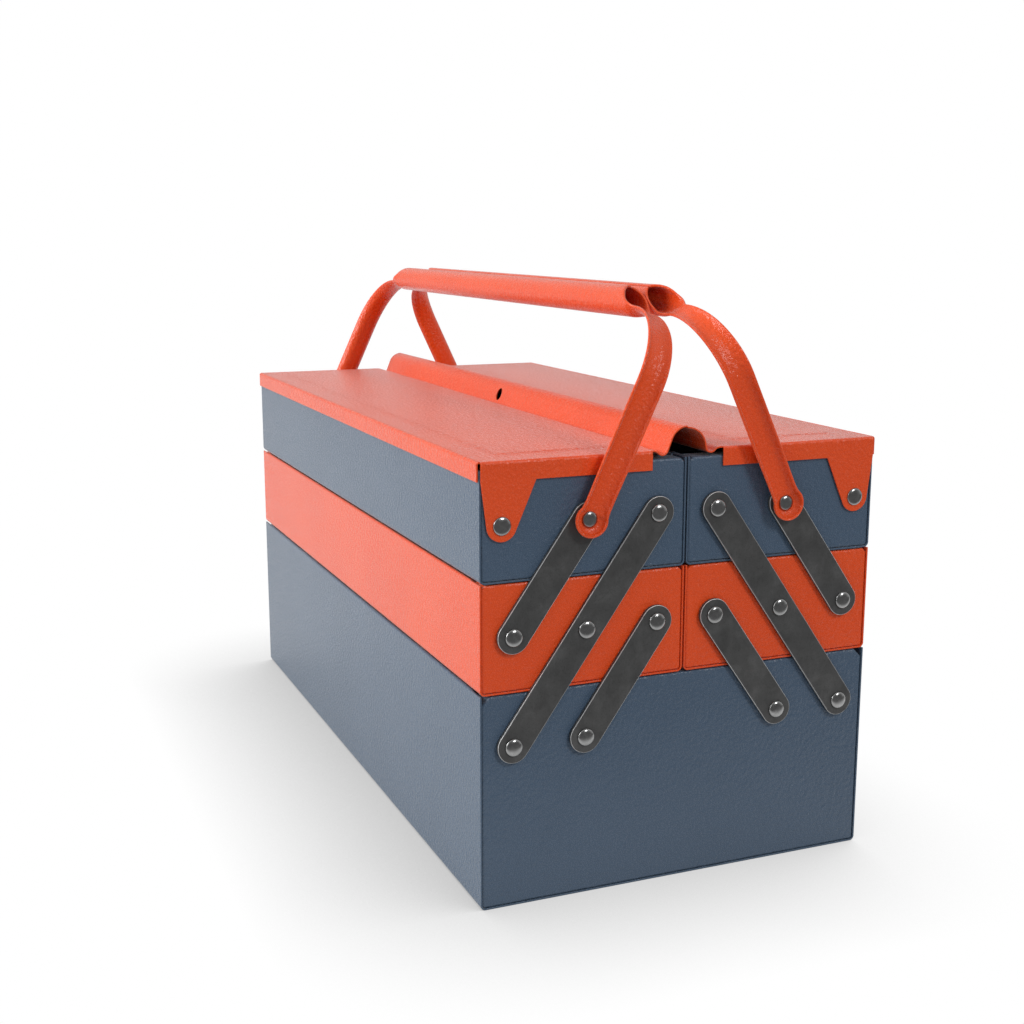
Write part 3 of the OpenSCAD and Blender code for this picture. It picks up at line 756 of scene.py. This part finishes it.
def link_piece(name, side, end, low, high, holes):
    """One link with its body's name, between two pivots that are each a column and a level."""
    ends = [(side * COLUMN[column], LEVEL[level]) for column, level in (low, high)]
    run = [ends[1][i] - ends[0][i] for i in range(2)]
    middle = [(ends[0][i] + ends[1][i]) / 2.0 for i in range(2)]
    inner_face = X_LINK if end > 0 else -X_LINK - LINK_T
    sizes = {"Length": math.hypot(*run) * MM, "Width": LINK_W * MM, "Thickness": LINK_T * MM,
             "Holes": holes, "Turn": math.atan2(run[1], run[0])}
    mesh = grown(name, strip_links, [(inner_face, middle[0], middle[1])], sizes)
    holder = new_object(name + "_blank", mesh)
    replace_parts(edged_piece(holder, name + "_strip", LINK_EDGE, name, "link_steel"), name)


for label, side in SIDES.items():
    for hand, end in ENDS.items():
        stem = label + "_" + hand
        link_piece(stem + "_long_link", side, end, ("out", "base"), ("in", "upper"), 3)
        link_piece(stem + "_lower_link", side, end, ("mid", "base"), ("in", "middle"), 2)
        link_piece(stem + "_upper_link", side, end, ("out", "middle"), ("mid", "upper"), 2)


# Stage, light and camera, with lengths in metres

FLOOR_HALF = 6.0
# How far the box shades the floor, and how dark the deepest shade is
SHADOW_REACH = 0.1
SHADOW_DEPTH = 0.62
# Where the floor and the surroundings grow dark in glossy surfaces, towards the camera
DARK_FLOOR = (0.25, 0.42)
DARK_ROUND = (0.3, 0.8)

# The photograph's camera: place, heading and downward pitch in radians, lens and frame in mm
CAMERA_AT = (0.75652, -0.31262, 0.29967)
CAMERA_YAW = 2.74948
CAMERA_PITCH = 0.196192
CAMERA_LENS = 50.0
CAMERA_FRAME = 36.0


def pale_floor():
    """White floor that keeps the box's shadow and reads as white where nothing shades it."""
    shape = bmesh.new()
    bmesh.ops.create_grid(shape, x_segments=1, y_segments=1, size=FLOOR_HALF)
    mesh = new_mesh("floor", shape)
    material, graph, place = new_finish("pale_floor")
    seen, mirrored = white_rays(graph)
    behind = between(graph, graph.node("ShaderNodeSeparateXYZ", values={0: place}), *DARK_FLOOR)
    side_lit = graph.node("ShaderNodeCombineXYZ", values={0: -0.1, 1: 0.35, 2: 0.93})
    near = graph.node("ShaderNodeAmbientOcclusion", {"samples": 8},
                      {"Distance": SHADOW_REACH, "Normal": side_lit}, out=1)
    shade = 1.0 - (1.0 - near) * SHADOW_DEPTH
    matt = graph.node("ShaderNodeBsdfDiffuse", values={"Color": grey(0.5)})
    dimmed = 1.0 - mirrored * behind * 0.82
    glow = graph.node("ShaderNodeEmission", values={"Strength": shade * dimmed})
    surface = graph.node("ShaderNodeMixShader", values={0: seen, 1: matt, 2: glow})
    graph.node("ShaderNodeOutputMaterial", values={"Surface": surface})
    mesh.materials.append(material)
    new_object("floor", mesh)


def white_rays(graph):
    """Is 1 for rays of the camera, glossy surfaces and glass; and 1 for glossy surfaces alone."""
    path = graph.tree.nodes.new("ShaderNodeLightPath")
    rays = [Value(graph, path.outputs[name]) for name in ("Is Camera Ray", "Is Glossy Ray",
                                                          "Is Transmission Ray")]
    return (rays[0] + rays[1] + rays[2]).math("MINIMUM", 1.0), rays[1]


def soft_world():
    """White all round, and dark behind the camera in glossy surfaces."""
    world = bpy.data.worlds.new("studio")
    bpy.context.scene.world = world
    world.use_nodes = True
    world.node_tree.nodes.clear()
    graph = Graph(world.node_tree)
    seen, mirrored = white_rays(graph)
    towards = graph.node("ShaderNodeTexCoord", out="Generated")
    behind = between(graph, graph.node("ShaderNodeSeparateXYZ", values={0: towards}), *DARK_ROUND)
    strength = (seen * 0.5 + 0.5) * (1.0 - mirrored * (behind * 0.5 + 0.35))
    sky = graph.node("ShaderNodeBackground", values={"Color": grey(1.0), "Strength": strength})
    graph.node("ShaderNodeOutputWorld", values={"Surface": sky})


def soft_box(name, place, aim, size, power):
    lamp = bpy.data.lights.new(name, "AREA")
    lamp.shape = "RECTANGLE"
    lamp.size, lamp.size_y = size
    lamp.energy = power
    holder = new_object(name, lamp)
    holder.location = place
    holder.rotation_euler = (Vector(aim) - Vector(place)).to_track_quat("-Z", "Y").to_euler()


def photo_camera():
    """Camera at the photograph's place, for its square frame."""
    data = bpy.data.cameras.new("photo_camera")
    data.lens = CAMERA_LENS
    data.sensor_width = CAMERA_FRAME
    data.clip_start = 0.01
    camera = new_object("photo_camera", data)
    camera.location = CAMERA_AT
    level = math.cos(CAMERA_PITCH)
    ahead = Vector((level * math.cos(CAMERA_YAW), level * math.sin(CAMERA_YAW),
                    -math.sin(CAMERA_PITCH)))
    camera.rotation_euler = ahead.to_track_quat("-Z", "Y").to_euler()
    bpy.context.scene.camera = camera


pale_floor()
soft_world()
soft_box("key_box", (-0.4, -2.3, 1.3), (0.0, 0.0, 0.1), (1.8, 1.4), 66.0)
soft_box("end_box", (2.1, 0.7, 1.7), (0.2, 0.0, 0.15), (0.6, 0.6), 22.0)
photo_camera()
bpy.context.scene.view_settings.view_transform = "Standard"
